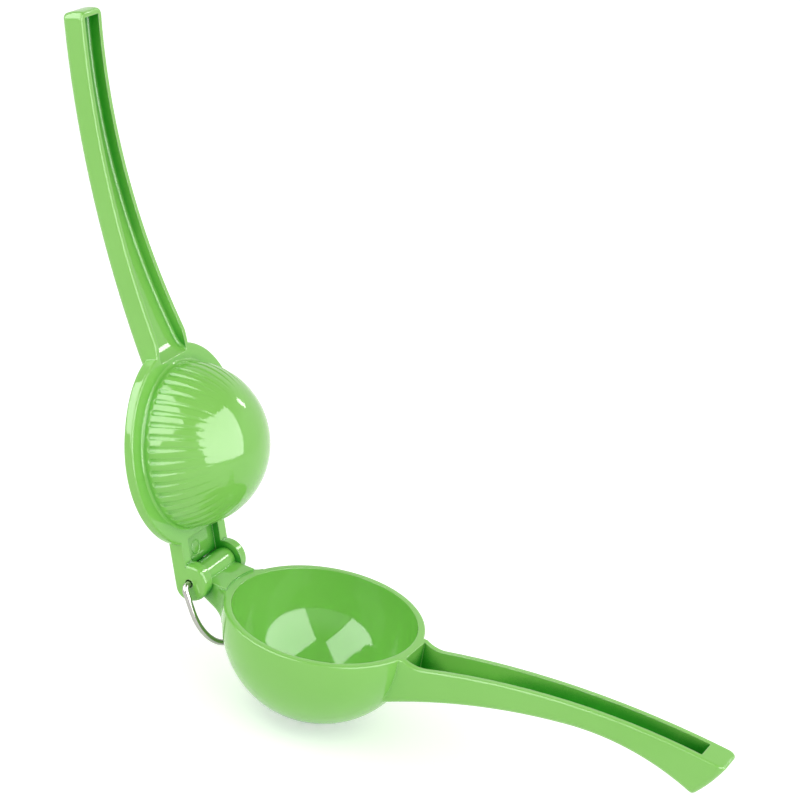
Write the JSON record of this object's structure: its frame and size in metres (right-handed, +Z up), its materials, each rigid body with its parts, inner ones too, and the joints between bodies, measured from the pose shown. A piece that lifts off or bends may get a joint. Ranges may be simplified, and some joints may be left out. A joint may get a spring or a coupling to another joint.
{
  "type": "hinged lemon squeezer",
  "caption": "Hand-held citrus press: a drained bowl and a hollow fluted dome on two channel handles, hinged together with a hanging ring.",
  "frame": {"origin": "centre of the bowl's rim circle, in the plane of its flat rim", "axes": "+X along the bowl's handle, away from the hinge; +Z up out of the bowl's mouth; the hinge axis is parallel to Y on the -X side"},
  "size_m": [0.2955, 0.0746, 0.2352],
  "materials": {
    "enamel": "gloss green coating on cast aluminium",
    "pin_steel": "ground steel",
    "ring_steel": "polished steel wire"
  },
  "bodies": {
    "bowl_arm": {"bowl_arm": "enamel"},
    "press_arm": {"press_arm": "enamel", "hinge_pin": "pin_steel"},
    "hanging_ring": {"hanging_ring": "ring_steel"}
  },
  "joints": [
    {"name": "press_hinge", "type": "hinge", "parent": "bowl_arm", "child": "press_arm", "pos_m": [-0.049, 0, 0], "axis": [0, 1, 0], "range_deg": [0, 109.2]},
    {"name": "ring_swing", "type": "hinge", "parent": "press_arm", "child": "hanging_ring", "pos_m": [-0.049, 0, 0], "axis": [0, 1, 0], "range_deg": [-4, 165]}
  ]
}
